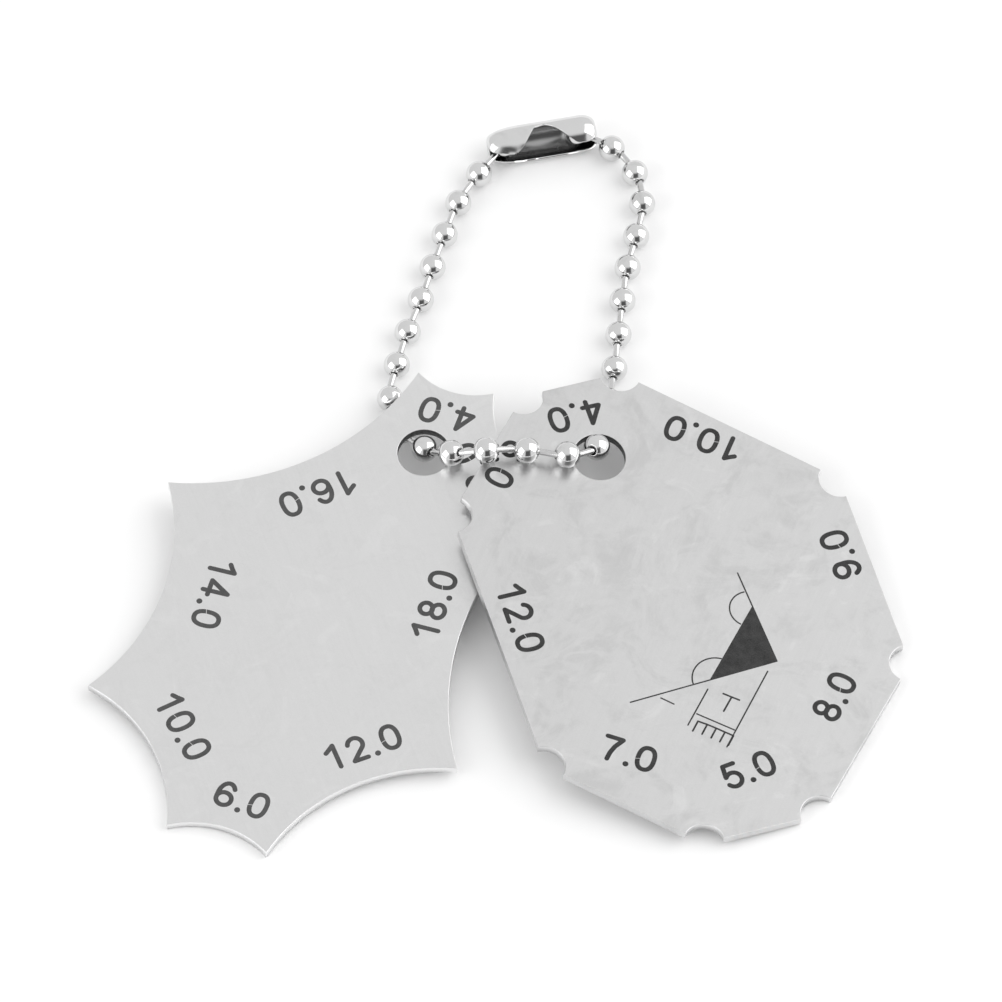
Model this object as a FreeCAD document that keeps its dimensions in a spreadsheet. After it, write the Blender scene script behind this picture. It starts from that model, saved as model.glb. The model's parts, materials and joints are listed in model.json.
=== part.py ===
import FreeCAD, Part
import math
import os

import Sketcher
from FreeCAD import Placement, Rotation, Vector

# A set of two fillet weld gauges on a ball chain, lying on a table: a star gauge with hollow faces for
# the leg length, a notched gauge with flat faces for the throat, and a closed chain of hollow balls.
# Millimetres and degrees. +Z is up, X runs across the two plates and the chain's loop lies towards +Y.

# Driving sizes: name, value, what it is
SIZES = (
    ("plate_thickness", 0.8, "sheet steel of both gauges"),
    ("hole_diameter", 4.2, "hanging hole of both gauges"),
    ("star_reach_4", 22.69, "from the star's middle to the chord of its 4 mm face"),
    ("star_reach_8", 20.43, "the same, 8 mm face"),
    ("star_reach_18", 14.25, "the same, 18 mm face"),
    ("star_reach_12", 17.46, "the same, 12 mm face"),
    ("star_reach_6", 22.20, "the same, 6 mm face"),
    ("star_reach_10", 19.76, "the same, 10 mm face"),
    ("star_reach_14", 15.68, "the same, 14 mm face"),
    ("star_reach_16", 16.11, "the same, 16 mm face"),
    ("star_arc_per_chord", 0.93, "radius of a hollow face as a share of its chord"),
    ("star_hole_across", 2.66, "hanging hole's centre from the star's middle, sideways"),
    ("star_hole_up", 15.84, "the same, towards the 4 mm face"),
    ("notched_reach_4", 21.35, "from the notched gauge's middle to its 4 mm face"),
    ("notched_reach_10", 16.76, "the same, 10 mm face"),
    ("notched_reach_9", 16.12, "the same, 9 mm face"),
    ("notched_reach_8", 18.37, "the same, 8 mm face"),
    ("notched_reach_5", 20.97, "the same, 5 mm face"),
    ("notched_reach_7", 18.12, "the same, 7 mm face"),
    ("notched_reach_12", 14.57, "the same, 12 mm face"),
    ("notched_reach_6", 19.19, "the same, 6 mm face"),
    ("notch_radius", 1.65, "round relief notch at each corner"),
    ("notched_hole_back", 1.68, "hanging hole's centre from the notched gauge's middle, to the left"),
    ("notched_hole_up", 14.44, "the same, towards the 4 mm face"),
    ("bead_diameter", 2.1, "chain ball"),
    ("bead_wall", 0.13, "sheet of a chain ball"),
    ("bead_hole_diameter", 0.78, "hole at each end of a ball"),
    ("bead_pitch", 3.2, "from ball to ball"),
    ("link_diameter", 0.5, "pin between two balls"),
    ("link_head_diameter", 0.88, "swaged head inside a ball"),
    ("link_head_length", 0.36, "length of a swaged head"),
    ("link_head_reach", 0.78, "how far a head stands inside the wall of its ball"),
    ("connector_length", 8.7, "coupling, end to end"),
    ("connector_wall", 0.2, "sheet of the coupling"),
    ("connector_play", 0.08, "gap around a ball inside the coupling"),
    ("connector_dome", 0.6, "rounding of the coupling's ends"),
    ("connector_slot", 1.0, "slot that the pins leave through"),
    ("connector_window", 5.0, "length of the window that the balls enter by"),
    ("connector_window_top", 0.7, "length of the window at its narrow ends"),
    ("connector_cut_depth", 0.45, "how far the window and slot reach behind the coupling's axis"),
    ("connector_ball_span", 6.0, "between the two balls held in the coupling"),
    ("seat_gap", 0.05, "gap where pieces lie on each other"),
    ("chain_lift", 0.12, "how far the chain holds the star's hole above one ball's height"),
    ("star_turn", -18.5, "the star's turn on the table"),
    ("notched_turn", 18.2, "the notched gauge's turn on the table"),
)

STAR_FACES = ("4", "8", "18", "12", "6", "10", "14", "16")
NOTCHED_FACES = ("4", "10", "9", "8", "5", "7", "12", "6")
SIDES = 8
TURN = 360.0 / SIDES

# The balls and pins are lofted through regular polygons, which keeps the chain's many pieces light.
BALL_SIDES = 12
PIN_SIDES = 8

# A ball's sections: heights as shares of its lip's height, then of the hollow's radius with that
# section's own radius. The hollow runs out past the lip so that it opens both holes.
OUTSIDE_SHARES = (-1, -0.8, -0.45, 0, 0.45, 0.8, 1)
HOLLOW_SHARES = ((-0.68, 0.733), (-0.35, 0.937), (0.35, 0.937), (0.68, 0.733))
PAST_THE_LIP = 1.1

# A swaged head's sections: depth as a share of its length, radius as a share of its own.
HEAD_SHARES = ((0, 0.62), (0.25, 1), (0.6, 1))

# Where each ball of the chain lies: the heading of every step along the table, in degrees from +X.
BALL_COUNT = 27
STAR_HOLE_BALL = 11
NOTCHED_HOLE_BALL = 16
FRONT_HEADINGS = (323.0, 346.5, 3.0, 356.0, 35.0)
LEFT_HEADINGS = (124.0, 108.5, 81.0, 75.0, 71.5, 73.5, 73.0, 70.5, 59.5, 52.0)
RIGHT_HEADINGS = (79.0, 82.0, 82.0, 84.0, 84.0, 82.5, 77.0, 81.0, 101.0, 127.5, 155.0)
# How far each pin is pushed into its two balls, or pulled out of them where it is under zero
LEFT_SLACK = (-0.05, -0.05, -0.05, -0.05, -0.05, -0.05, -0.05, -0.04, -0.04, -0.05)
RIGHT_SLACK = (0, -0.1, -0.1, -0.08, -0.05, 0, 0.12, 0.02, 0.2, 0.2, 0.2)
# Where a ball hangs in its hole: above the middle of the sheet, and aside as shares of the hole's play
STAR_HOLE_BALL_RISE = -0.35
NOTCHED_HOLE_BALL_RISE = 0.2
STAR_HOLE_BALL_ASIDE = Vector(0.029, 0.733, 0)
NOTCHED_HOLE_BALL_ASIDE = Vector(-0.095, 0.933, 0)
# How high the balls next to the holes ride, from the table (0) to the plate's underside (1)
UNDER_STAR = (0.8,)
UNDER_NOTCHED = (0.9, 0.3)
UP = Vector(0, 0, 1)

# The places are found by repeating: a first guess, and how often each search is repeated.
FIRST_NOTCHED_HOLE = Vector(13.7, -0.7, 0)
SETTLING_ROUNDS = 12
TURNING_ROUNDS = 3
HALVINGS = 50
MOST_SPREAD = 12.0


def make_sheet(doc):
    sheet = doc.addObject("Spreadsheet::Sheet", "sizes")
    for row, (alias, value, note) in enumerate(SIZES, start=1):
        sheet.set("A%d" % row, alias)
        sheet.set("B%d" % row, str(value))
        sheet.setAlias("B%d" % row, alias)
        sheet.set("C%d" % row, note)
    doc.recompute()
    return sheet


# Octagons whose sides stand 45 degrees apart

def side_normal(i):
    angle = math.radians(90 - TURN * i)
    return Vector(math.cos(angle), math.sin(angle), 0)


def octagon_corners(reaches):
    """Corner i lies where side i - 1 meets side i."""
    corners = []
    for i in range(SIDES):
        normal, before = side_normal(i), side_normal(i - 1)
        along = (reaches[i - 1] - reaches[i] * normal.dot(before)) / math.sin(math.radians(TURN))
        back = Vector(-normal.y, normal.x, 0)
        corners.append(normal * reaches[i] + back * along)
    return corners


def bind(sketch, constraint, formula):
    index = sketch.addConstraint(constraint)
    sketch.setExpression("Constraints[%d]" % index, formula)


def octagon_sides(sketch, plate, faces, construction):
    """Draw the eight sides, each held at its heading and at its reach from the sketch's origin."""
    corners = octagon_corners([size("%s_reach_%s" % (plate, face)) for face in faces])
    sides = []
    for i in range(SIDES):
        line = Part.LineSegment(corners[i], corners[(i + 1) % SIDES])
        sides.append(sketch.addGeometry(line, construction))
    for i, face in enumerate(faces):
        heading = (180 - TURN * i) % 360 - 180
        alias = "%s_reach_%s" % (plate, face)
        sketch.addConstraint(Sketcher.Constraint("Coincident", sides[i], 2, sides[(i + 1) % SIDES], 1))
        sketch.addConstraint(Sketcher.Constraint("Angle", sides[i], math.radians(heading)))
        bind(sketch, Sketcher.Constraint("Distance", -1, 1, sides[i], size(alias)), "sizes." + alias)
    return sides


def circle_at(sketch, centre, radius, across, up, diameter):
    """A circle whose centre and diameter follow the sheet; across and up are formulas."""
    circle = sketch.addGeometry(Part.Circle(centre, UP, radius), False)
    bind(sketch, Sketcher.Constraint("DistanceX", -1, 1, circle, 3, centre.x), across)
    bind(sketch, Sketcher.Constraint("DistanceY", -1, 1, circle, 3, centre.y), up)
    bind(sketch, Sketcher.Constraint("Diameter", circle, 2 * radius), diameter)


def new_sketch(body, name, plane):
    sketch = body.newObject("Sketcher::SketchObject", name)
    origin = next(item for item in body.Origin.OriginFeatures if item.Role == plane)
    sketch.AttachmentSupport = [(origin, "")]
    sketch.MapMode = "FlatFace"
    return sketch


def polygon(sketch, points):
    """A closed chain of straight edges; returns the edges' numbers."""
    edges = []
    for i, start in enumerate(points):
        edges.append(sketch.addGeometry(Part.LineSegment(start, points[(i + 1) % len(points)]), False))
    for i, edge in enumerate(edges):
        following = edges[(i + 1) % len(edges)]
        sketch.addConstraint(Sketcher.Constraint("Coincident", edge, 2, following, 1))
    return edges


# The two gauges

def star_gauge(doc):
    body = doc.addObject("PartDesign::Body", "star_gauge")
    sketch = new_sketch(body, "star_outline", "XY_Plane")
    sides = octagon_sides(sketch, "star", STAR_FACES, True)
    corners = octagon_corners([size("star_reach_%s" % face) for face in STAR_FACES])
    for i in range(SIDES):
        start, end = corners[i], corners[(i + 1) % SIDES]
        chord = start.distanceToPoint(end)
        radius = size("star_arc_per_chord") * chord
        rise = math.sqrt(radius ** 2 - chord ** 2 / 4)
        middle = (start + end) * 0.5
        centre = middle + side_normal(i) * rise
        lowest = centre - side_normal(i) * radius
        arc = sketch.addGeometry(Part.Arc(start, lowest, end), False)
        sketch.addConstraint(Sketcher.Constraint("Coincident", arc, 1, sides[i], 1))
        sketch.addConstraint(Sketcher.Constraint("Coincident", arc, 2, sides[i], 2))
        own, before, after = (STAR_FACES[(i + k) % SIDES] for k in (0, -1, 1))
        formula = "sizes.star_arc_per_chord * (sqrt(2) * (sizes.star_reach_%s + sizes.star_reach_%s)" \
                  " - 2 * sizes.star_reach_%s)" % (before, after, own)
        bind(sketch, Sketcher.Constraint("Radius", arc, radius), formula)
    centre = Vector(size("star_hole_across"), size("star_hole_up"), 0)
    circle_at(sketch, centre, size("hole_diameter") / 2,
              "sizes.star_hole_across", "sizes.star_hole_up", "sizes.hole_diameter")
    pad = body.newObject("PartDesign::Pad", "star_sheet")
    pad.Profile = sketch
    pad.setExpression("Length", "sizes.plate_thickness")
    return body


def notched_gauge(doc):
    body = doc.addObject("PartDesign::Body", "notched_gauge")
    sketch = new_sketch(body, "notched_outline", "XY_Plane")
    octagon_sides(sketch, "notched", NOTCHED_FACES, False)
    centre = Vector(-size("notched_hole_back"), size("notched_hole_up"), 0)
    circle_at(sketch, centre, size("hole_diameter") / 2,
              "-sizes.notched_hole_back", "sizes.notched_hole_up", "sizes.hole_diameter")
    pad = body.newObject("PartDesign::Pad", "notched_sheet")
    pad.Profile = sketch
    pad.setExpression("Length", "sizes.plate_thickness")
    notches = new_sketch(body, "corner_notches", "XY_Plane")
    sides = octagon_sides(notches, "notched", NOTCHED_FACES, True)
    corners = octagon_corners([size("notched_reach_%s" % face) for face in NOTCHED_FACES])
    for side, corner in zip(sides, corners):
        circle = notches.addGeometry(Part.Circle(corner, UP, size("notch_radius")), False)
        notches.addConstraint(Sketcher.Constraint("Coincident", circle, 3, side, 1))
        bind(notches, Sketcher.Constraint("Radius", circle, size("notch_radius")), "sizes.notch_radius")
    pocket = body.newObject("PartDesign::Pocket", "round_notches")
    pocket.Profile = notches
    pocket.Type = "ThroughAll"
    pocket.Reversed = True
    return body


# The chain's ball and pin, each made once and then repeated along the chain

def lofted(doc, name, sides, sections):
    """A solid through regular polygons; each section is a pair of formulas, its height and its radius."""
    polygons = []
    for i, (height, radius) in enumerate(sections):
        ring = doc.addObject("Part::RegularPolygon", "%s_ring_%d" % (name, i))
        ring.Polygon = sides
        ring.setExpression("Circumradius", radius)
        ring.setExpression(".Placement.Base.z", height)
        polygons.append(ring)
    loft = doc.addObject("Part::Loft", name)
    loft.Sections = polygons
    loft.Solid = True
    loft.Ruled = True
    return loft


def ball_form(doc):
    """A hollow ball with a hole at each end, its axis along Z."""
    radius = "(sizes.bead_diameter / 2)"
    hole = "(sizes.bead_hole_diameter / 2)"
    inner = "(sizes.bead_diameter / 2 - sizes.bead_wall)"
    lip = "sqrt(%s^2 - %s^2)" % (radius, hole)
    inner_lip = "sqrt(%s^2 - %s^2)" % (inner, hole)
    outside = []
    for share in OUTSIDE_SHARES:
        height = "(%s) * (%s)" % (share, lip)
        outside.append((height, "sqrt(%s^2 - (%s)^2)" % (radius, height)))
    inside = [("-%s * %s" % (PAST_THE_LIP, lip), hole), ("-1 * " + inner_lip, hole)]
    inside += [("%s * %s" % (share, inner), "%s * %s" % (width, inner)) for share, width in HOLLOW_SHARES]
    inside += [(inner_lip, hole), ("%s * %s" % (PAST_THE_LIP, lip), hole)]
    cut = doc.addObject("Part::Cut", "ball_form")
    cut.Base = lofted(doc, "ball_outside", BALL_SIDES, outside)
    cut.Tool = lofted(doc, "ball_hollow", BALL_SIDES, inside)
    return cut


def wall_height():
    """Distance from a ball's middle to the middle of the wall at its hole, where a pin turns."""
    radius = size("bead_diameter") / 2
    hole = size("bead_hole_diameter") / 2
    outer = math.sqrt(radius ** 2 - hole ** 2)
    inner = math.sqrt((radius - size("bead_wall")) ** 2 - hole ** 2)
    return (outer + inner) / 2


def pin_form(doc):
    """A pin with a swaged head at each end, its axis along Z."""
    turn = "(sqrt((sizes.bead_diameter / 2)^2 - (sizes.bead_hole_diameter / 2)^2)" \
           " + sqrt((sizes.bead_diameter / 2 - sizes.bead_wall)^2 - (sizes.bead_hole_diameter / 2)^2)) / 2"
    half = "(sizes.bead_pitch / 2 - %s + sizes.link_head_reach)" % turn
    steps = [("%s * sizes.link_head_length" % depth, "%s * sizes.link_head_diameter / 2" % width)
             for depth, width in HEAD_SHARES]
    steps.append(("sizes.link_head_length", "sizes.link_diameter / 2"))
    low = [("-1 * %s + %s" % (half, depth), radius) for depth, radius in steps]
    high = [("%s - %s" % (half, depth), radius) for depth, radius in reversed(steps)]
    return lofted(doc, "pin_form", PIN_SIDES, low + high)


def flat_faced(doc, name, form):
    """The same solid with each face on a true plane, where a loft leaves a spline surface."""
    faces = []
    for face in form.Shape.Faces:
        wires = []
        for wire in face.Wires:
            points = [vertex.Point for vertex in wire.OrderedVertexes]
            wires.append(Part.makePolygon(points + points[:1]))
        faces.append(Part.Face(wires))
    shell = Part.Shell(faces)
    shell.sewShape()
    made = doc.addObject("Part::Feature", name)
    made.Shape = Part.Solid(shell)
    return made


def repeated(doc, name, form):
    """A body of its own with the form's solid."""
    body = doc.addObject("PartDesign::Body", name)
    body.BaseFeature = form
    return body


# The coupling

def connector(doc):
    """A rolled tube along X with closed rounded ends, a slot all along its -Y side and a window in it."""
    body = doc.addObject("PartDesign::Body", "connector")
    inner = size("bead_diameter") / 2 + size("connector_play")
    outer = inner + size("connector_wall")
    half = size("connector_length") / 2
    dome = size("connector_dome")
    depth = size("connector_cut_depth")
    inner_formula = "(sizes.bead_diameter / 2 + sizes.connector_play)"
    outer_formula = "(sizes.bead_diameter / 2 + sizes.connector_play + sizes.connector_wall)"

    profile = new_sketch(body, "tube_profile", "XY_Plane")
    corners = [Vector(-half, 0, 0), Vector(-half, outer - dome, 0), Vector(-half + dome, outer, 0),
               Vector(half - dome, outer, 0), Vector(half, outer - dome, 0), Vector(half, 0, 0)]
    turn = dome * (1 - math.sqrt(0.5))
    left_end = profile.addGeometry(Part.LineSegment(corners[0], corners[1]), False)
    left_dome = profile.addGeometry(
        Part.Arc(corners[1], Vector(-half + turn, outer - turn, 0), corners[2]), False)
    top = profile.addGeometry(Part.LineSegment(corners[2], corners[3]), False)
    right_dome = profile.addGeometry(
        Part.Arc(corners[3], Vector(half - turn, outer - turn, 0), corners[4]), False)
    right_end = profile.addGeometry(Part.LineSegment(corners[4], corners[5]), False)
    axis = profile.addGeometry(Part.LineSegment(corners[5], corners[0]), False)
    # an arc drawn from its end to its start has its points the other way round
    tangents = ((left_end, 2, left_dome, 2), (left_dome, 1, top, 1),
                (top, 2, right_dome, 2), (right_dome, 1, right_end, 1))
    for first, first_end, second, second_end in tangents:
        profile.addConstraint(Sketcher.Constraint("Tangent", first, first_end, second, second_end))
    profile.addConstraint(Sketcher.Constraint("Coincident", right_end, 2, axis, 1))
    profile.addConstraint(Sketcher.Constraint("Coincident", axis, 2, left_end, 1))
    profile.addConstraint(Sketcher.Constraint("Horizontal", axis))
    profile.addConstraint(Sketcher.Constraint("Vertical", left_end))
    profile.addConstraint(Sketcher.Constraint("Vertical", right_end))
    profile.addConstraint(Sketcher.Constraint("Equal", left_dome, right_dome))
    profile.addConstraint(Sketcher.Constraint("Symmetric", axis, 1, axis, 2, -1, 1))
    bind(profile, Sketcher.Constraint("DistanceX", axis, 2, axis, 1, 2 * half), "sizes.connector_length")
    bind(profile, Sketcher.Constraint("DistanceY", axis, 2, top, 1, outer), outer_formula)
    bind(profile, Sketcher.Constraint("Radius", left_dome, dome), "sizes.connector_dome")
    shell = body.newObject("PartDesign::Revolution", "tube_outside")
    shell.Profile = profile
    shell.ReferenceAxis = (profile, ["H_Axis"])
    shell.Angle = 360

    hollow = new_sketch(body, "tube_hollow", "XY_Plane")
    inside = half - size("connector_wall")
    edges = polygon(hollow, [Vector(-inside, 0, 0), Vector(-inside, inner, 0),
                             Vector(inside, inner, 0), Vector(inside, 0, 0)])
    box_constraints(hollow, edges)
    hollow.addConstraint(Sketcher.Constraint("Symmetric", edges[3], 1, edges[3], 2, -1, 1))
    bind(hollow, Sketcher.Constraint("DistanceX", edges[3], 2, edges[3], 1, 2 * inside),
         "sizes.connector_length - 2 * sizes.connector_wall")
    bind(hollow, Sketcher.Constraint("DistanceY", edges[3], 2, edges[1], 1, inner), inner_formula)
    groove = body.newObject("PartDesign::Groove", "tube_inside")
    groove.Profile = hollow
    groove.ReferenceAxis = (hollow, ["H_Axis"])
    groove.Angle = 360

    slot = new_sketch(body, "slot_outline", "XZ_Plane")
    width = size("connector_slot")
    edges = polygon(slot, [Vector(-half, -width / 2, 0), Vector(-half, width / 2, 0),
                           Vector(half, width / 2, 0), Vector(half, -width / 2, 0)])
    box_constraints(slot, edges)
    slot.addConstraint(Sketcher.Constraint("Symmetric", edges[0], 1, edges[1], 2, -1, 1))
    bind(slot, Sketcher.Constraint("DistanceX", edges[3], 2, edges[3], 1, 2 * half), "sizes.connector_length")
    bind(slot, Sketcher.Constraint("DistanceY", edges[0], 1, edges[0], 2, width), "sizes.connector_slot")
    front_pocket(body, slot, "link_slot")

    window = new_sketch(body, "window_outline", "XZ_Plane")
    wide, narrow = size("connector_window") / 2, size("connector_window_top") / 2
    edges = polygon(window, [Vector(-wide, 0, 0), Vector(-narrow, outer, 0), Vector(narrow, outer, 0),
                             Vector(wide, 0, 0), Vector(narrow, -outer, 0), Vector(-narrow, -outer, 0)])
    window.addConstraint(Sketcher.Constraint("Horizontal", edges[1]))
    window.addConstraint(Sketcher.Constraint("Horizontal", edges[4]))
    window.addConstraint(Sketcher.Constraint("Symmetric", edges[0], 1, edges[3], 1, -1, 1))
    window.addConstraint(Sketcher.Constraint("Symmetric", edges[1], 1, edges[4], 1, -1, 1))
    window.addConstraint(Sketcher.Constraint("Symmetric", edges[1], 2, edges[4], 2, -1, 1))
    window.addConstraint(Sketcher.Constraint("PointOnObject", edges[0], 1, -1))
    bind(window, Sketcher.Constraint("DistanceX", edges[0], 1, edges[3], 1, 2 * wide),
         "sizes.connector_window")
    bind(window, Sketcher.Constraint("DistanceX", edges[1], 1, edges[1], 2, 2 * narrow),
         "sizes.connector_window_top")
    bind(window, Sketcher.Constraint("DistanceY", edges[0], 1, edges[1], 1, outer), outer_formula)
    window.addConstraint(Sketcher.Constraint("Symmetric", edges[1], 1, edges[1], 2, -2))
    front_pocket(body, window, "ball_window")
    return body


def box_constraints(sketch, edges):
    """Hold four edges upright and level in turn, the first one upright."""
    for i, edge in enumerate(edges):
        sketch.addConstraint(Sketcher.Constraint("Horizontal" if i % 2 else "Vertical", edge))


def front_pocket(body, sketch, name):
    """Cut from a little behind the coupling's axis out through its -Y side."""
    sketch.setExpression(".AttachmentOffset.Base.z", "-sizes.connector_cut_depth")
    pocket = body.newObject("PartDesign::Pocket", name)
    pocket.Profile = sketch
    pocket.Reversed = True
    pocket.setExpression("Length", "sizes.bead_diameter + sizes.connector_cut_depth")


# Where the pieces lie

def rest_rotation(low, other_low, high, rise, turn):
    """Turn a plate so that two points of it lie level and a third one stands higher by rise."""
    span, reach = other_low - low, high - low
    base = span.x * reach.y - span.y * reach.x
    slope = Vector(-span.y * rise / base, span.x * rise / base, 0)
    up = Vector(slope.x, slope.y, math.sqrt(1 - slope.x ** 2 - slope.y ** 2))
    return Rotation(UP, turn).multiply(Rotation(up, UP))


def placed_by(rotation, local, world):
    return Placement(world - rotation.multVec(local), rotation)


def surface_height(placement, level, x, y):
    """Height of a plate's plane, level above its underside, over a point of the table."""
    normal = placement.Rotation.multVec(UP)
    base = placement.multVec(Vector(0, 0, level))
    return base.z - (normal.x * (x - base.x) + normal.y * (y - base.y)) / normal.z


def step(start, heading, height_at, slack=0.0):
    """The next ball's centre, one pitch less the slack on, at the height that its support gives there."""
    direction = Vector(math.cos(math.radians(heading)), math.sin(math.radians(heading)), 0)
    pitch = size("bead_pitch") - slack
    low, high = 0.0, pitch
    for _ in range(HALVINGS):
        run = (low + high) / 2
        point = start + direction * run
        point.z = height_at(point.x, point.y)
        if point.distanceToPoint(start) < pitch:
            low = run
        else:
            high = run
    return point


def hole_play():
    """How far a ball can move aside in a hanging hole."""
    return (size("hole_diameter") - size("bead_diameter")) / 2


def lay_out():
    """Placements of the star and the notched gauge and the centres of all balls."""
    radius = size("bead_diameter") / 2
    thickness = size("plate_thickness")
    gap = size("seat_gap")
    star = octagon_corners([size("star_reach_%s" % face) for face in STAR_FACES])
    star_hole = Vector(size("star_hole_across"), size("star_hole_up"), 0)
    rise = size("bead_diameter") + size("chain_lift")
    low_left, low_right = star[5], star[4]
    rotation = rest_rotation(low_left, low_right, star_hole, rise, size("star_turn"))
    star_place = placed_by(rotation, star_hole, Vector(0, 0, rise))
    star_tip = star_place.multVec(star[2] + UP * thickness)

    notched = octagon_corners([size("notched_reach_%s" % face) for face in NOTCHED_FACES])
    along = (notched[4] - notched[3]).normalize() * size("notch_radius")
    low_top, low_bottom = notched[3] + along, notched[4] - along
    notched_hole = Vector(-size("notched_hole_back"), size("notched_hole_up"), 0)
    notched_place = Placement(Vector(0, 0, rise), Rotation(UP, size("notched_turn")))
    hole_xy = FIRST_NOTCHED_HOLE
    for _ in range(SETTLING_ROUNDS):
        contact = notched_place.inverse().multVec(star_tip + UP * gap)
        contact.z = 0
        rotation = rest_rotation(low_top, low_bottom, contact, star_tip.z + gap, size("notched_turn"))
        hole_rise = rotation.multVec(notched_hole).z - rotation.multVec(low_top).z
        notched_place = placed_by(rotation, notched_hole, Vector(hole_xy.x, hole_xy.y, hole_rise))
        balls = front_run(star_place, star_hole, notched_place, radius, thickness, gap)
        hole_xy = balls[NOTCHED_HOLE_BALL] - NOTCHED_HOLE_BALL_ASIDE * hole_play()
    balls.update(closed_loop(balls, star_place, notched_place, radius, gap))
    return star_place, notched_place, balls


def front_run(star_place, star_hole, notched_place, radius, thickness, gap):
    """Balls from the star's hole over both plates and into the notched gauge's hole."""
    def on_star(x, y):
        return surface_height(star_place, thickness, x, y) + radius + gap

    def on_notched(x, y):
        return surface_height(notched_place, thickness, x, y) + radius + gap

    def in_notched_hole(x, y):
        return surface_height(notched_place, thickness / 2, x, y) + NOTCHED_HOLE_BALL_RISE

    first = star_place.multVec(star_hole) + STAR_HOLE_BALL_ASIDE * hole_play()
    first.z = surface_height(star_place, thickness / 2, first.x, first.y) + STAR_HOLE_BALL_RISE
    balls = {STAR_HOLE_BALL: first}
    supports = (on_star, on_notched, on_notched, on_notched, in_notched_hole)
    for i, (heading, support) in enumerate(zip(FRONT_HEADINGS, supports)):
        balls[STAR_HOLE_BALL + i + 1] = step(balls[STAR_HOLE_BALL + i], heading, support)
    return balls


def closed_loop(balls, star_place, notched_place, radius, gap):
    """The two runs on the table, spread until their last balls fit the coupling."""
    def under(place):
        def height(x, y):
            return max(radius, surface_height(place, 0, x, y) - radius - 2 * gap)
        return height

    def on_table(x, y):
        return radius

    def in_connector(x, y):
        return radius + size("connector_play") + size("connector_wall")

    def halfway(place, share):
        """Part of the way from the plate's underside down to the table."""
        def height(x, y):
            return radius + share * (under(place)(x, y) - radius)
        return height

    def all_supports(place, shares, count):
        """Under the plate, then on the table, and the last ball in the coupling."""
        under_plate = [halfway(place, share) for share in shares]
        return under_plate + [on_table] * (count - len(shares) - 1) + [in_connector]

    def runs(spread):
        run = {}
        last, point = STAR_HOLE_BALL, balls[STAR_HOLE_BALL]
        supports = all_supports(star_place, UNDER_STAR, len(LEFT_HEADINGS))
        for heading, slack, support in zip(LEFT_HEADINGS, LEFT_SLACK, supports):
            point = step(point, heading + spread, support, slack)
            last -= 1
            run[last] = point
        last, point = NOTCHED_HOLE_BALL, balls[NOTCHED_HOLE_BALL]
        supports = all_supports(notched_place, UNDER_NOTCHED, len(RIGHT_HEADINGS))
        for heading, slack, support in zip(RIGHT_HEADINGS, RIGHT_SLACK, supports):
            point = step(point, heading - spread, support, slack)
            last += 1
            run[last] = point
        return run

    low, high = -MOST_SPREAD, MOST_SPREAD
    for _ in range(HALVINGS):
        spread = (low + high) / 2
        run = runs(spread)
        if run[1].distanceToPoint(run[BALL_COUNT]) < size("connector_ball_span"):
            low = spread
        else:
            high = spread
    print("closing spread %.3f degrees" % spread)
    return run


def aligned(direction, centre):
    return Placement(centre, Rotation(UP, direction))


def chain_axes(balls):
    """The bore direction of each ball: between its neighbours, then turned towards its two pins."""
    turn = wall_height()
    axes = {}
    for i in range(1, BALL_COUNT + 1):
        before, after = balls.get(i - 1, balls[i]), balls.get(i + 1, balls[i])
        axes[i] = (after - before).normalize()
    for _ in range(TURNING_ROUNDS):
        pins = {}
        for i in range(1, BALL_COUNT):
            pins[i] = (balls[i + 1] - axes[i + 1] * turn - balls[i] - axes[i] * turn).normalize()
        for i in range(1, BALL_COUNT + 1):
            between = (pins.get(i - 1, pins.get(i)) + pins.get(i, pins.get(i - 1))).normalize()
            axes[i] = (axes[i] + between).normalize()
    return axes


def lay_chain(balls, beads, links):
    turn = wall_height()
    axes = chain_axes(balls)
    for i, bead in enumerate(beads, start=1):
        bead.Placement = aligned(axes[i], balls[i])
    for i, link in enumerate(links, start=1):
        start = balls[i] + axes[i] * turn
        end = balls[i + 1] - axes[i + 1] * turn
        link.Placement = aligned(end - start, (start + end) * 0.5)
    return axes


def lay_connector(body, balls):
    first, last = balls[1], balls[BALL_COUNT]
    along = (last - first).normalize()
    back = UP.cross(along)
    rotation = Rotation(along, back, UP, "XYZ")
    body.Placement = Placement((first + last) * 0.5, rotation)


def move_to_origin(bodies):
    """Stand the set on Z = 0 with the middle of its outline at the origin."""
    box = FreeCAD.BoundBox()
    for body in bodies:
        box.add(body.Shape.optimalBoundingBox())
    shift = Vector(-box.Center.x, -box.Center.y, -box.ZMin)
    for body in bodies:
        placement = body.Placement
        placement.Base = placement.Base + shift
        body.Placement = placement
    return shift


def check(doc, bodies):
    for item in doc.Objects:
        if "Invalid" in item.State or "Error" in item.State:
            raise RuntimeError("%s is %s" % (item.Name, item.State))
    for body in bodies:
        if body.Shape.isNull() or not body.Shape.isValid() or len(body.Shape.Solids) != 1:
            raise RuntimeError("%s has no valid solid" % body.Label)


def export(bodies):
    os.makedirs("parts", exist_ok=True)
    for body in bodies:
        body.Shape.exportStep("parts/%s.step" % body.Label)


doc = FreeCAD.newDocument("weld_gauge_set")
sheet = make_sheet(doc)


def size(alias):
    return float(sheet.get(alias))


star_body = star_gauge(doc)
notched_body = notched_gauge(doc)
ball_loft = ball_form(doc)
pin_loft = pin_form(doc)
doc.recompute()
ball = flat_faced(doc, "ball_solid", ball_loft)
pin = flat_faced(doc, "pin_solid", pin_loft)
bead_bodies = [repeated(doc, "bead_%02d" % (i + 1), ball) for i in range(BALL_COUNT)]
link_bodies = [repeated(doc, "link_%02d" % (i + 1), pin) for i in range(BALL_COUNT - 1)]
connector_body = connector(doc)
doc.recompute()

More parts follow.
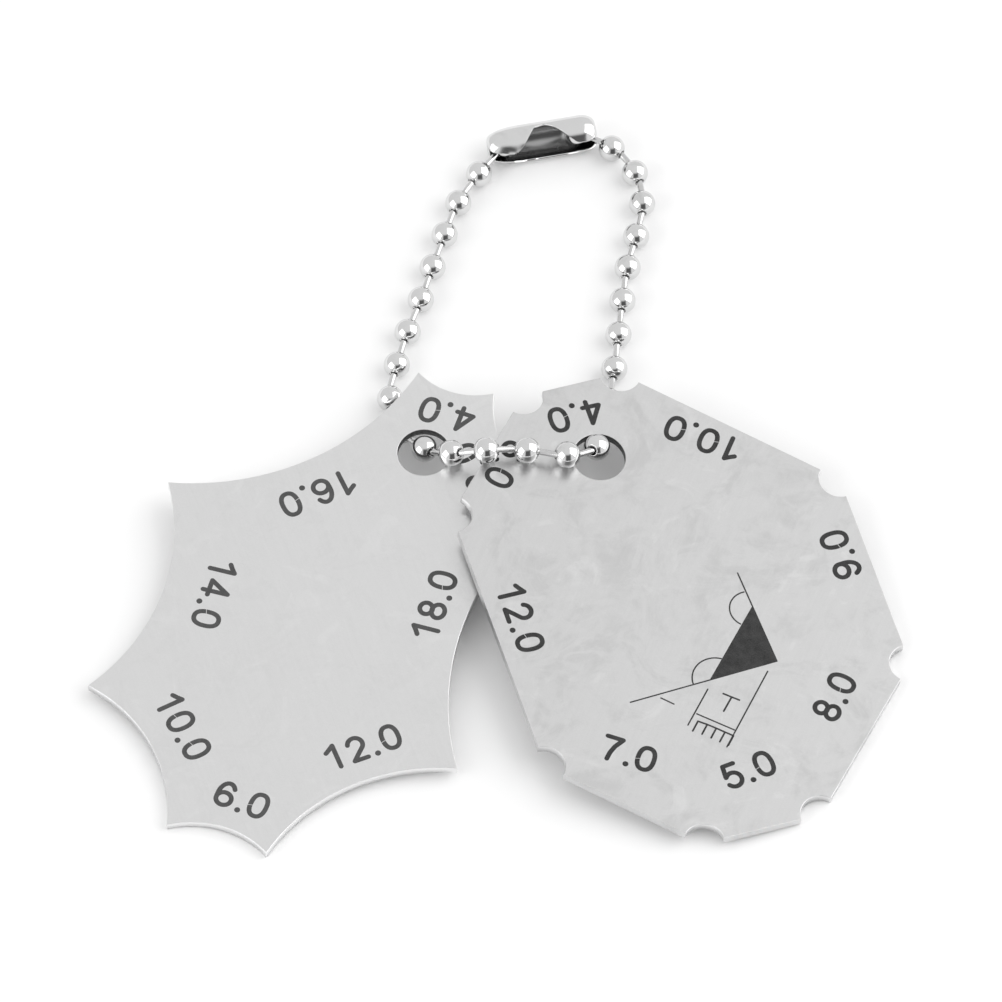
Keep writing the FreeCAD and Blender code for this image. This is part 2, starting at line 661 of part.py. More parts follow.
star_body.Placement, notched_body.Placement, ball_centres = lay_out()
ball_axes = lay_chain(ball_centres, bead_bodies, link_bodies)
lay_connector(connector_body, ball_centres)
doc.recompute()
all_bodies = [star_body, notched_body] + bead_bodies + link_bodies + [connector_body]
origin_shift = move_to_origin(all_bodies)
doc.recompute()
check(doc, all_bodies)
export(all_bodies)
print("wrote %d solids" % len(all_bodies))
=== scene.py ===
import json
import math

import bmesh
import bpy
from mathutils import Matrix, Quaternion, Vector
from mathutils.geometry import delaunay_2d_cdt

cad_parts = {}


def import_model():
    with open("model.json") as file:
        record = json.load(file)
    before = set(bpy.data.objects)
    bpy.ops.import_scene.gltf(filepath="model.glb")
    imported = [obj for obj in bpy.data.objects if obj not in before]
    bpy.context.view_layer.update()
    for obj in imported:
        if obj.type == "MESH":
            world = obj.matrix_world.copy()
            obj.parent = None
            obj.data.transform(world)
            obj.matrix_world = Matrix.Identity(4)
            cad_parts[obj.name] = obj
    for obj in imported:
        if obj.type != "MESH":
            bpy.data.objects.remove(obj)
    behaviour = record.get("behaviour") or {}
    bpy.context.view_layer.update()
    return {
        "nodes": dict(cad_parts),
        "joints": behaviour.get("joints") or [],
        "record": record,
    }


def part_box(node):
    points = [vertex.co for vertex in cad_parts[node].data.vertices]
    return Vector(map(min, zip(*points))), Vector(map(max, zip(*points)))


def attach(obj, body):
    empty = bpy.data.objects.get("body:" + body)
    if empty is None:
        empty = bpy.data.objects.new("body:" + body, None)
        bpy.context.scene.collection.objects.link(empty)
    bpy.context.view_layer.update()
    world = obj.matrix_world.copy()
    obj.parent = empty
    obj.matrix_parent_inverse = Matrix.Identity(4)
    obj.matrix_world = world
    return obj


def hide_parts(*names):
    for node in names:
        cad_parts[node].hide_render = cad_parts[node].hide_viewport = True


# A set of two fillet weld gauges on a ball chain. Sizes are in millimetres until they reach Blender,
# which is in metres, in the same frame as the solids.

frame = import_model()

MM = 0.001
UP = Vector((0, 0, 1))
NODES = frame["nodes"]
BODIES = frame["record"]["behaviour"]["bodies"]
JOINTS = {joint["name"]: joint for joint in frame["joints"]}
BODY_OF = {node: body for body, members in BODIES.items() for node in members}

# The plates: turn on the table, and hanging hole in the plate's own frame
STAR_TURN = -18.5
STAR_HOLE = (2.66, 15.84)
NOTCHED_TURN = 18.2
NOTCHED_HOLE = (-1.68, 14.44)
HOLE_RADIUS = 2.1
PLATE_THICKNESS = 0.8
PLATE_EDGE_ROUND = 0.045

# The chain
BALL_COUNT = 27
BALL_PITCH = 3.2
BALL_RADIUS = 1.05
BALL_WALL = 0.13
BALL_HOLE_RADIUS = 0.39
BALL_AROUND = 48
PIN_AROUND = 24
PIN_RADIUS = 0.25
PIN_HEAD_RADIUS = 0.44
PIN_HEAD_LENGTH = 0.36
PIN_HEAD_REACH = 0.78
TURNING_ROUNDS = 3

# The coupling
COUPLING_LENGTH = 8.7
COUPLING_RADIUS = 1.48
COUPLING_ASIDE = (0.04, -0.16, 0.15)
COUPLING_WALL = 0.13
COUPLING_EDGE_ROUND = 0.035
COUPLING_LEFT_TAPER = 2.5
COUPLING_RIGHT_TAPER = 1.2
COUPLING_END_DROP = 0.7


# Shader arithmetic

class Value:
    """A shader socket that takes part in plain arithmetic."""

    def __init__(self, shade, socket):
        self.shade = shade
        self.socket = socket

    def maths(self, operation, first, second):
        return self.shade.node("ShaderNodeMath", {"operation": operation}, {0: first, 1: second})

    def __add__(self, other):
        return self.maths("ADD", self, other)

    def __sub__(self, other):
        return self.maths("SUBTRACT", self, other)

    def __rsub__(self, other):
        return self.maths("SUBTRACT", other, self)

    def __mul__(self, other):
        return self.maths("MULTIPLY", self, other)

    __radd__ = __add__
    __rmul__ = __mul__

    def within(self, low, high, start=0.0, end=1.0):
        """Smooth rise from start to end while the value goes from low to high."""
        settings = {"interpolation_type": "SMOOTHSTEP"}
        inputs = {"Value": self, "From Min": low, "From Max": high, "To Min": start, "To Max": end}
        return self.shade.node("ShaderNodeMapRange", settings, inputs)


class Shade:
    """One node tree, and the only place where its nodes are made and linked."""

    def __init__(self, tree):
        self.tree = tree
        tree.nodes.clear()

    def node(self, kind, settings=None, inputs=None, output=0):
        made = self.tree.nodes.new(kind)
        for name, value in (settings or {}).items():
            setattr(made, name, value)
        for name, value in (inputs or {}).items():
            if isinstance(value, Value):
                self.tree.links.new(value.socket, made.inputs[name])
            else:
                made.inputs[name].default_value = value
        return Value(self, made.outputs[output]) if made.outputs else None

    def part(self, value, axis):
        return self.node("ShaderNodeSeparateXYZ", None, {0: value}, axis)

    def grey(self, value):
        return self.node("ShaderNodeCombineColor", None, {0: value, 1: value, 2: value})

    def object_place(self):
        return self.node("ShaderNodeTexCoord", None, None, 3)

    def noise(self, where, scale, detail=2.0, roughness=0.5, distortion=0.0):
        inputs = {"Vector": where, "Scale": scale, "Detail": detail, "Roughness": roughness,
                  "Distortion": distortion}
        return self.node("ShaderNodeTexNoise", None, inputs)

    def stretched(self, where, turn, stretch):
        """The place as seen along a direction in the table's plane, drawn out along it."""
        inputs = {"Vector": where, "Rotation": (0, 0, turn), "Scale": (stretch, 1.0, 1.0)}
        return self.node("ShaderNodeMapping", {"vector_type": "TEXTURE"}, inputs)

    def bump(self, height, distance, strength=1.0):
        return self.node("ShaderNodeBump", None,
                         {"Height": height, "Distance": distance, "Strength": strength})

    def metal(self, colour, roughness, normal, metallic=1.0, specular=0.5):
        inputs = {"Base Color": colour, "Roughness": roughness, "Metallic": metallic,
                  "Specular IOR Level": specular, "Normal": normal}
        shader = self.node("ShaderNodeBsdfPrincipled", None, inputs)
        self.node("ShaderNodeOutputMaterial", None, {"Surface": shader})


def new_material(name):
    material = bpy.data.materials.new(name)
    material.use_nodes = True
    return material, Shade(material.node_tree)


def gauge_steel(name, grey, cloud_depth, roughness, line_turn, hole):
    """Tumbled stainless sheet: fine grain, faint rolling lines, cloudy handling marks, a painted
    highlight on the side walls, and painted shade on the wall of the hanging hole."""
    material, shade = new_material(name)
    where = shade.object_place()
    grain = shade.noise(where, 9000.0, 3.0, 0.6)
    clouds = shade.noise(where, 150.0, 5.0, 0.62, 1.6)
    blots = shade.noise(where, 460.0, 3.0, 0.55, 0.8)
    lines = shade.noise(shade.stretched(where, line_turn, 18.0), 3600.0, 3.0, 0.6)
    across = shade.stretched(where, line_turn + 0.5, 25.0)
    scratches = shade.noise(across, 1500.0, 1.0, 0.4).within(0.67, 0.74)
    smudge = clouds.within(0.44, 0.66) * blots.within(0.32, 0.62)
    wiped = shade.noise(where, 210.0, 3.0, 0.6, 2.2).within(0.56, 0.72)
    level = grey + (grain - 0.5) * 0.07 + (lines - 0.5) * 0.05
    level = level - smudge * cloud_depth + wiped * cloud_depth * 0.5 + scratches * 0.008
    rough = roughness + (grain - 0.5) * 0.10 + smudge * 0.09 - scratches * 0.02
    upright = shade.part(shade.node("ShaderNodeTexCoord", None, None, 1), 2)
    side = 1 - (upright * upright).within(0.15, 0.75)
    # Painted shade: the wall of the hanging hole is darkened and made rougher
    away = shade.node("ShaderNodeVectorMath", {"operation": "DISTANCE"}, {0: where, 1: hole}, 1)
    hole_wall_shade = away.within(HOLE_RADIUS * 1.08 * MM, HOLE_RADIUS * 1.14 * MM, 1.0, 0.0) * side
    # Painted highlight: the side walls are made lighter. Painted shade: the hole's wall is made darker.
    level = (level + side * 0.1) * (1 - hole_wall_shade * 0.80)
    height = grain * 0.4 + lines * 0.6 + side * grain * 3
    shade.metal(shade.grey(level), rough - side * 0.04 + hole_wall_shade * 0.15, shade.bump(height, 0.000012, 0.5))
    return material


def etched_mark(name, grey):
    """Laser etching: dark, matt and slightly uneven."""
    material, shade = new_material(name)
    where = shade.object_place()
    grain = shade.noise(where, 12000.0, 3.0, 0.7)
    patches = shade.noise(where, 1500.0, 2.0, 0.5)
    level = grey + (grain - 0.5) * 0.09 + (patches - 0.5) * 0.05
    shade.metal(shade.grey(level), 0.62 + (grain - 0.5) * 0.2, shade.bump(grain, 0.00001, 0.5),
                metallic=0.2, specular=0.2)
    return material


def polished_plate(name, grey, roughness):
    """Bright nickel plating with fine handling scratches and a little tarnish."""
    material, shade = new_material(name)
    where = shade.object_place()
    waves = shade.noise(where, 900.0, 2.0, 0.5)
    fine = shade.noise(where, 9000.0, 3.0, 0.6)
    tarnish = shade.noise(where, 500.0, 4.0, 0.6, 0.6).within(0.52, 0.8)
    level = grey - tarnish * 0.10 + (fine - 0.5) * 0.04
    shade.metal(shade.grey(level), roughness + tarnish * 0.10 + (fine - 0.5) * 0.05,
                shade.bump(waves * 0.8 + fine * 0.2, 0.000025, 0.35))
    return material


def hole_place(joint_name):
    return tuple(JOINTS[joint_name]["pos_m"])


# Both plates are one steel and one etching: the notched plate's darker steel and mark greys are painted shade.
STAR_STEEL = gauge_steel("star_steel", 0.80, 0.05, 0.33, 1.9, hole_place("star_gauge_swing"))
NOTCHED_STEEL = gauge_steel("notched_steel_shaded", 0.67, 0.09, 0.36, 1.2, hole_place("notched_gauge_swing"))
STAR_MARK = etched_mark("star_mark", 0.085)
NOTCHED_MARK = etched_mark("notched_mark_shaded", 0.045)
BALL_NICKEL = polished_plate("ball_nickel", 0.78, 0.06)
PIN_NICKEL = polished_plate("pin_nickel", 0.70, 0.12)
COUPLING_NICKEL = polished_plate("coupling_nickel", 0.78, 0.12)
# Painted shade: the sheet's inside takes a darker grey than its outside, for the shade inside the tube.
COUPLING_INSIDE_SHADED = polished_plate("coupling_inside_shaded", 0.42, 0.24)


# Meshes

def new_piece(name, mesh, material, slot, body, *nodes):
    piece = bpy.data.objects.new(name, mesh)
    bpy.context.scene.collection.objects.link(piece)
    mesh.materials.append(material)
    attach(piece, body)
    if nodes:
        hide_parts(*nodes)
    return piece


def mesh_from(name, points, faces, smooth=True):
    mesh = bpy.data.meshes.new(name)
    mesh.from_pydata([tuple(point) for point in points], [], faces)
    mesh.validate()
    form = bmesh.new()
    form.from_mesh(mesh)
    bmesh.ops.recalc_face_normals(form, faces=form.faces)
    form.to_mesh(mesh)
    form.free()
    for face in mesh.polygons:
        face.use_smooth = smooth
    return mesh


def turned_mesh(name, profile, around, place):
    """A closed profile of (radius, height) turned about Z; points at radius 0 become one point."""
    points, rings, faces = [], [], []
    for radius, height in profile:
        if radius == 0:
            rings.append([len(points)] * around)
            points.append(place @ Vector((0, 0, height * MM)))
            continue
        rings.append(list(range(len(points), len(points) + around)))
        for k in range(around):
            angle = math.tau * k / around
            point = Vector((radius * math.cos(angle), radius * math.sin(angle), height)) * MM
            points.append(place @ point)
    loop = list(zip(rings, rings[1:]))
    if profile[0][0] and profile[-1][0]:
        loop.append((rings[-1], rings[0]))
    for first, second in loop:
        for k in range(around):
            m = (k + 1) % around
            corners = [first[k], first[m], second[m], second[k]]
            faces.append(list(dict.fromkeys(corners)))
    return mesh_from(name, points, faces)


# The chain's places, worked out from the balls' solids

def middle(node):
    low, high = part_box(node)
    return (low + high) / 2


def wall_height():
    outer = math.sqrt(BALL_RADIUS ** 2 - BALL_HOLE_RADIUS ** 2)
    inner = math.sqrt((BALL_RADIUS - BALL_WALL) ** 2 - BALL_HOLE_RADIUS ** 2)
    return (outer + inner) / 2


def ball_axes(balls):
    """The bore direction of each ball: between its neighbours, then turned towards its two pins."""
    reach = wall_height() * MM
    axes = {}
    for i, ball in balls.items():
        axes[i] = (balls.get(i + 1, ball) - balls.get(i - 1, ball)).normalized()
    for _ in range(TURNING_ROUNDS):
        pins = {}
        for i in range(1, BALL_COUNT):
            pins[i] = (balls[i + 1] - axes[i + 1] * reach - balls[i] - axes[i] * reach).normalized()
        for i in balls:
            between = (pins.get(i - 1, pins.get(i)) + pins.get(i, pins.get(i - 1))).normalized()
            axes[i] = (axes[i] + between).normalized()
    return axes


BALLS = {i: middle("bead_%02d" % i) for i in range(1, BALL_COUNT + 1)}
AXES = ball_axes(BALLS)


def stand_at(centre, direction):
    return Matrix.Translation(centre) @ UP.rotation_difference(direction).to_matrix().to_4x4()


def ball_profile():
    """A hollow ball whose wall curls in a little at both holes."""
    steps = 22
    lip = math.asin(BALL_HOLE_RADIUS / BALL_RADIUS)
    outside, inside = [], []
    for k in range(steps + 1):
        angle = lip + (math.pi - 2 * lip) * k / steps
        outside.append((BALL_RADIUS * math.sin(angle), BALL_RADIUS * math.cos(angle)))
    inner = BALL_RADIUS - BALL_WALL
    inner_lip = math.asin(BALL_HOLE_RADIUS / inner)
    for k in range(steps // 2 + 1):
        angle = math.pi - inner_lip - (math.pi - 2 * inner_lip) * k / (steps // 2)
        inside.append((inner * math.sin(angle), inner * math.cos(angle)))
    curl = BALL_WALL * 0.35
    top = (BALL_HOLE_RADIUS - 0.03, outside[0][1] - curl)
    bottom = (BALL_HOLE_RADIUS - 0.03, -top[1])
    return outside + [bottom] + inside + [top]


def pin_profile(length):
    """A pin with a shallow fillet under each swaged head."""
    half = length / 2
    head = (
        (0, 0), (PIN_HEAD_RADIUS * 0.5, 0), (PIN_HEAD_RADIUS * 0.86, 0.04), (PIN_HEAD_RADIUS, 0.12),
        (PIN_HEAD_RADIUS * 0.97, 0.21), (PIN_HEAD_RADIUS * 0.8, 0.28), (PIN_RADIUS * 1.08, PIN_HEAD_LENGTH),
        (PIN_RADIUS, PIN_HEAD_LENGTH + 0.12),
    )
    low = [(radius, depth - half) for radius, depth in head]
    high = [(radius, half - depth) for radius, depth in reversed(head)]
    return low + high


for i in range(1, BALL_COUNT + 1):
    node = "bead_%02d" % i
    mesh = turned_mesh("ball_%02d" % i, ball_profile(), BALL_AROUND, stand_at(BALLS[i], AXES[i]))
    new_piece("ball_%02d" % i, mesh, BALL_NICKEL, "chrome", BODY_OF[node], node)

pin_length = BALL_PITCH - 2 * wall_height() + 2 * PIN_HEAD_REACH
for i in range(1, BALL_COUNT):
    node = "link_%02d" % i
    start = BALLS[i] + AXES[i] * wall_height() * MM
    end = BALLS[i + 1] - AXES[i + 1] * wall_height() * MM
    place = stand_at((start + end) / 2, end - start)
    mesh = turned_mesh("pin_%02d" % i, pin_profile(pin_length), PIN_AROUND, place)
    new_piece("pin_%02d" % i, mesh, PIN_NICKEL, "chrome", BODY_OF[node], node)


# The coupling: one sheet rolled round from the opening's upper edge to its lower edge. Each edge is
# given by its angle from the front at places along the coupling.

UPPER_EDGE = (
    (-4.35, 26), (-2.9, 25), (-2.3, 28), (-1.7, 44), (-0.55, 105), (0.3, 114), (1.1, 92), (1.9, 60),
    (2.7, 28), (4.35, 24),
)
LOWER_EDGE = ((-4.35, 18), (-2.3, 20), (-1.5, 40), (-0.8, 40), (-0.4, 33), (1.8, 36), (2.9, 18), (4.35, 18))
EDGE_SOFTNESS = 0.09
CORNER_AT = -2.35
CORNER_WIDTH = 0.42
CORNER_FLARE = 0.2
FLARE_ANGLE = 10.0


def straight_edge_angle(edge, x):
    for (start, low), (end, high) in zip(edge, edge[1:]):
        if x <= end:
            return low + (high - low) * max(0.0, x - start) / (end - start)
    return edge[-1][1]


def edge_angle(edge, x):
    """The edge's angle with its corners rounded."""
    shifts = [EDGE_SOFTNESS * k for k in (-1.5, -0.5, 0.5, 1.5)]
    return sum(straight_edge_angle(edge, x + shift) for shift in shifts) / len(shifts)


def coupling_radius(x):
    """Radius of the rolled sheet: straight, and tapered in a quarter ellipse towards each end."""
    taper = COUPLING_LEFT_TAPER if x < 0 else COUPLING_RIGHT_TAPER
    share = max(0.0, abs(x) - COUPLING_LENGTH / 2 + taper) / taper
    return COUPLING_RADIUS - COUPLING_END_DROP * (1 - math.sqrt(max(0.0, 1 - share ** 2)))


def coupling_stations():
    """Places along the coupling, closer together over its rounded ends."""
    half = COUPLING_LENGTH / 2
    turns = [math.sin(math.pi / 2 * k / 12) for k in range(1, 13)]
    left = -half + COUPLING_LEFT_TAPER
    right = half - COUPLING_RIGHT_TAPER
    count = 72
    middle_part = [left + (right - left) * k / count for k in range(count + 1)]
    left_part = [left - COUPLING_LEFT_TAPER * turn for turn in reversed(turns)]
    return left_part + middle_part + [right + COUPLING_RIGHT_TAPER * turn for turn in turns]


def coupling_mesh(place):
    around = 44
    points, rows = [], []
    for x in coupling_stations():
        radius = coupling_radius(x)
        closing = COUPLING_RADIUS / radius
        upper = edge_angle(UPPER_EDGE, x) * closing
        lower = edge_angle(LOWER_EDGE, x) * closing
        corner = math.exp(-((x - CORNER_AT) / CORNER_WIDTH) ** 2)
        row = []
        for k in range(around + 1):
            # angles crowd together at both edges of the sheet
            share = k / around
            share = share - math.sin(math.tau * share) / math.tau * 0.7
            span = 360 - lower - upper
            flare = CORNER_FLARE * corner * math.exp(-share * span / FLARE_ANGLE)
            turn = math.radians(upper + span * share)
            reach = radius + flare
            row.append(len(points))
            points.append(place @ (Vector((x, -reach * math.cos(turn), reach * math.sin(turn))) * MM))
        rows.append(row)
    faces = []
    for first, second in zip(rows, rows[1:]):
        for k in range(around):
            faces.append([first[k], first[k + 1], second[k + 1], second[k]])
    # The flat ends close the tube down to the slot
    for row, x in ((rows[0], -COUPLING_LENGTH / 2), (rows[-1], COUPLING_LENGTH / 2)):
        hub = len(points)
        points.append(place @ (Vector((x, 0.1, 0)) * MM))
        for k in range(around):
            faces.append([row[k], row[k + 1], hub])
    return mesh_from("coupling", points, faces)


def coupling_place():
    first, last = BALLS[1], BALLS[BALL_COUNT]
    along = (last - first).normalized()
    back = UP.cross(along).normalized()
    up = along.cross(back)
    turn = Matrix((along, back, up)).transposed()
    centre = (first + last) / 2 + turn @ (Vector(COUPLING_ASIDE) * MM)
    return Matrix.Translation(centre) @ turn.to_4x4()


coupling = new_piece("coupling_sheet", coupling_mesh(coupling_place()), COUPLING_NICKEL, "chrome",
                     BODY_OF["connector"], "connector")
coupling.data.materials.append(COUPLING_INSIDE_SHADED)
sheet = coupling.modifiers.new("sheet", "SOLIDIFY")
sheet.thickness = COUPLING_WALL * MM
sheet.offset = -1
# The inner faces take the painted-shade inside material.
sheet.material_offset = 1
edge = coupling.modifiers.new("edge", "BEVEL")
edge.width = COUPLING_EDGE_ROUND * MM
edge.segments = 2
edge.limit_method = "ANGLE"
edge.angle_limit = math.radians(50)


# The plates keep their solids, with a fine rounded edge

for node, material in (("star_gauge", STAR_STEEL), ("notched_gauge", NOTCHED_STEEL)):
    plate = NODES[node]
    plate.data.materials.clear()
    plate.data.materials.append(material)
    weld = plate.modifiers.new("weld", "WELD")
    weld.merge_threshold = 0.0005 * MM
    rim = plate.modifiers.new("rim", "BEVEL")
    rim.width = PLATE_EDGE_ROUND * MM
    rim.segments = 2
    rim.limit_method = "ANGLE"
    rim.angle_limit = math.radians(40)
    rim.harden_normals = True


# Marks etched into the plates, placed in each plate's own frame

def plate_place(joint_name, hole, turn):
    """From the plate's own frame, on its upper surface, to the frame of the solids."""
    joint = JOINTS[joint_name]
    rotation = UP.rotation_difference(Vector(joint["axis"])) @ Quaternion(UP, math.radians(turn))
    local = Vector((hole[0], hole[1], -PLATE_THICKNESS / 2)) * MM
    return Matrix.Translation(Vector(joint["pos_m"]) - rotation @ local) @ rotation.to_matrix().to_4x4()


PLACES = {
    "star_gauge": plate_place("star_gauge_swing", STAR_HOLE, STAR_TURN),
    "notched_gauge": plate_place("notched_gauge_swing", NOTCHED_HOLE, NOTCHED_TURN),
}
MARK_RISE = 0.004
MARK_DEPTH = 0.03


def pen_outlines(line, pen):
    """Outlines that cover a pen's path: one for each run of it, and a round at each point."""
    outlines = []
    for start, end in zip(line, line[1:]):
        along = (end - start).normalized()
        aside = Vector((-along.y, along.x)) * (pen / 2)
        outlines.append([start - aside, end - aside, end + aside, start + aside])
    for point in line:
        outlines.append(round_outline(point, pen / 2))
    return outlines


def round_outline(centre, radius, count=14):
    angles = [math.tau * k / count for k in range(count)]
    return [centre + Vector((math.cos(angle), math.sin(angle))) * radius for angle in angles]


def add_mark(name, plate, outlines, gaps=(), place=None):
    """One thin slab that covers all outlines but not the gaps, standing a hair above the plate."""
    points, faces = [], []
    for outline in list(outlines) + list(gaps):
        faces.append(list(range(len(points), len(points) + len(outline))))
        points += outline
    found = delaunay_2d_cdt(points, [], faces, 0, 1e-5)
    corners, triangles, sources = found[0], found[2], found[5]
    form = bmesh.new()
    tops = [form.verts.new((corner.x, corner.y, MARK_RISE)) for corner in corners]
    for triangle, source in zip(triangles, sources):
        if source and max(source) < len(outlines):
            form.faces.new([tops[k] for k in triangle])
    bmesh.ops.delete(form, geom=[vert for vert in form.verts if not vert.link_faces], context="VERTS")
    bmesh.ops.dissolve_limit(form, angle_limit=0.005, verts=form.verts[:], edges=form.edges[:])
    pulled = bmesh.ops.extrude_face_region(form, geom=form.faces[:])["geom"]
    lowered = [item for item in pulled if isinstance(item, bmesh.types.BMVert)]
    bmesh.ops.translate(form, vec=(0, 0, -MARK_DEPTH), verts=lowered)
    bmesh.ops.recalc_face_normals(form, faces=form.faces)
    mesh = bpy.data.meshes.new(name)
    form.to_mesh(mesh)
    form.free()
    mesh.transform(PLACES[plate] @ Matrix.Scale(MM, 4) @ (place or Matrix()))
    material = STAR_MARK if plate == "star_gauge" else NOTCHED_MARK
    return new_piece(name, mesh, material, "brushed_steel", BODY_OF[plate])


# Figures, drawn with one pen in a box that is one figure high

FIGURE_HEIGHT = 2.4
FIGURE_PEN = 0.16
FIGURE_ADVANCE = 0.775
POINT_ADVANCE = 0.3875
NOUGHT_MIDDLE = 0.388
SLIT_ANGLE = 195.0
SLIT_WIDTH = 0.018
SLIT_REACH = (0.14, 0.48)


def path(*corners):
    return [Vector(corner) for corner in corners]


def bend(x, y, across, up, start, end, fullness=1.0):
    """Points along an ellipse about (x, y), from one angle to another in degrees. A fullness under 1
    makes its sides straighter."""
    count = max(4, round(abs(end - start) / 12))
    line = []
    for k in range(count + 1):
        angle = math.radians(start + (end - start) * k / count)
        out = [math.copysign(abs(share) ** fullness, share) for share in (math.cos(angle), math.sin(angle))]
        line.append(Vector((x + across * out[0], y + up * out[1])))
    if abs(end - start) == 360:
        line[-1] = line[0].copy()
    return line


SIX = [
    bend(0.405, 0.50, 0.27, 0.415, 38, 182) + path((0.14, 0.32)),
    bend(0.395, 0.32, 0.255, 0.235, 0, 360),
]
NINE = [[Vector((FIGURE_ADVANCE, 1)) - point for point in line] for line in SIX]
FIGURES = {
    "0": [bend(NOUGHT_MIDDLE, 0.5, 0.265, 0.415, 0, 360, 0.84)],
    "1": [path((0.16, 0.71), (0.30, 0.80), (0.45, 0.915), (0.45, 0.08))],
    "2": [bend(0.385, 0.665, 0.25, 0.25, 166, -38) + path((0.40, 0.335), (0.16, 0.09), (0.635, 0.085))],
    "4": [path((0.50, 0.08), (0.50, 0.915), (0.105, 0.29), (0.66, 0.275))],
    "5": [path((0.61, 0.915), (0.235, 0.915), (0.165, 0.50)), bend(0.385, 0.345, 0.262, 0.262, 142, -150)],
    "6": SIX,
    "7": [path((0.13, 0.915), (0.655, 0.915), (0.46, 0.60), (0.37, 0.34), (0.335, 0.08))],
    "8": [bend(0.388, 0.705, 0.215, 0.21, 0, 360), bend(0.388, 0.30, 0.255, 0.215, 0, 360)],
    "9": NINE,
}


def slit(left):
    """The gap left in a nought's ring, where the stencil holds its middle."""
    angle = math.radians(SLIT_ANGLE)
    out = Vector((math.cos(angle), math.sin(angle)))
    aside = Vector((-out.y, out.x)) * (SLIT_WIDTH / 2)
    ring = Vector((left + NOUGHT_MIDDLE, 0.5))
    near, far = (ring + out * reach for reach in SLIT_REACH)
    return [near - aside, far - aside, far + aside, near + aside]


def add_number(plate, text, x, y, outward):
    """Etched number whose foot faces outward, given in degrees in the plate's own frame."""
    outlines, gaps, left = [], [], 0.0
    for sign in text:
        shift = Vector((left, 0))
        if sign == ".":
            outlines.append(round_outline(shift + Vector((POINT_ADVANCE / 2, 0.095)), 0.1))
            left += POINT_ADVANCE
            continue
        for line in FIGURES[sign]:
            outlines += pen_outlines([shift + point for point in line], FIGURE_PEN)
        if sign == "0":
            gaps.append(slit(left))
        left += FIGURE_ADVANCE
    centre = Matrix.Translation(Vector((-left / 2, -0.5, 0)))
    spin = Matrix.Rotation(math.radians(outward + 90), 4, "Z")
    height = Matrix.Diagonal((FIGURE_HEIGHT, FIGURE_HEIGHT, 1, 1))
    place = Matrix.Translation(Vector((x, y, 0))) @ spin @ height @ centre
    return add_mark("%s_number_%s" % (plate.split("_")[0], text), plate, outlines, gaps, place)


# Each number: its middle on the plate, and the direction of its foot
STAR_NUMBERS = (
    ("4.0", 3.25, 19.66, 89), ("8.0", 6.69, 15.74, 45), ("18.0", 7.83, 2.94, 1.5), ("12.0", 6.58, -10.9, -50),
    ("6.0", -0.86, -18.28, -94), ("10.0", -7.37, -13.43, -134.5), ("14.0", -8.9, -1.4, 182.5),
    ("16.0", -4.11, 9.74, 132.5),
)
NOTCHED_NUMBERS = (
    ("4.0", -2.3, 18.52, 90), ("10.0", 6.79, 13.89, 51), ("9.0", 13.97, 0.96, 2.5), ("8.0", 9.36, -11.17, -43),
    ("5.0", 0.71, -15.66, -82.5), ("7.0", -7.87, -11.83, -125), ("12.0", -12.24, 2.12, 180),
    ("6.0", -8.92, 15.7, 135),
)
for plate, numbers in (("star_gauge", STAR_NUMBERS), ("notched_gauge", NOTCHED_NUMBERS)):
    for text, x, y, outward in numbers:
        add_number(plate, text, x, y, outward)


# The drawing of a throat measure on the notched gauge: the two plates, the weld between them, the
# rounds of its legs, and the throat's size T in mm between two extension lines

LINE_PEN = 0.12
LETTER_PEN = 0.15
WELD = path((5.72, -1.67), (0.40, -7.12), (6.02, -6.93))


def through(start, passing, end, count=20):
    """Points along the arc from start through passing to end."""
    first, second = passing - start, end - start
    turn = 2 * (first.x * second.y - first.y * second.x)
    centre = start + Vector((
        (second.y * first.length_squared - first.y * second.length_squared) / turn,
        (first.x * second.length_squared - second.x * first.length_squared) / turn))
    arms = [point - centre for point in (start, passing, end)]
    angles = [math.atan2(arm.y, arm.x) for arm in arms]
    sweep = (angles[2] - angles[0]) % math.tau
    if (angles[1] - angles[0]) % math.tau > sweep:
        sweep -= math.tau
    radius = arms[0].length
    steps = [angles[0] + sweep * k / count for k in range(count + 1)]
    return [centre + Vector((math.cos(angle), math.sin(angle))) * radius for angle in steps]


thin_lines = [
    path((5.56, 1.49), (6.02, -6.93)),
    path((-6.3, -7.45), (6.02, -6.93)),
    through(*path((5.5, -0.28), (4.05, -1.1), (4.32, -2.98))),
    through(*path((1.84, -5.56), (-0.2, -5.65), (-1.01, -7.17))),
    path((-0.05, -7.92), (-2.58, -10.59)),
    path((5.02, -7.62), (-0.25, -13.27)),
    path((-1.59, -9.81), (0.85, -12.01)),
    path((-3.86, -7.71), (-3.05, -8.5)),
]
# Two letters m beside each other: three feet each, with an arch from foot to foot
FOOT_ENDS = path((-2.38, -11.19), (-1.77, -11.66), (-1.19, -12.17), (-0.64, -12.68), (-0.1, -13.17))
FOOT_LENGTH = Vector((0.67, 0.72))
letter_lines = [path((1.0, -8.62), (2.04, -9.51)), path((1.53, -9.1), (0.53, -10.14))]
for foot in FOOT_ENDS:
    letter_lines.append([foot, foot + FOOT_LENGTH])
for foot, following in zip(FOOT_ENDS, FOOT_ENDS[1:]):
    letter_lines.append([foot + FOOT_LENGTH, following + FOOT_LENGTH])
drawing = [WELD]
for line in thin_lines:
    drawing += pen_outlines(line, LINE_PEN)
for line in letter_lines:
    drawing += pen_outlines(line, LETTER_PEN)
add_mark("notched_drawing", "notched_gauge", drawing)


# The stage: floor, lights and camera

LOOK_AT = Vector((0.39, -1.17, 0)) * MM
ELEVATION = math.radians(56.7)
DISTANCE = 1.555
LENS = 707.8
TENT_GREY = 0.80
GAP_ASIDE = 0.14
GAP_DEPTH = 0.70
FLOOR_LIFT = 0.07
FLOOR_LIFT_IN_METAL = 0.02


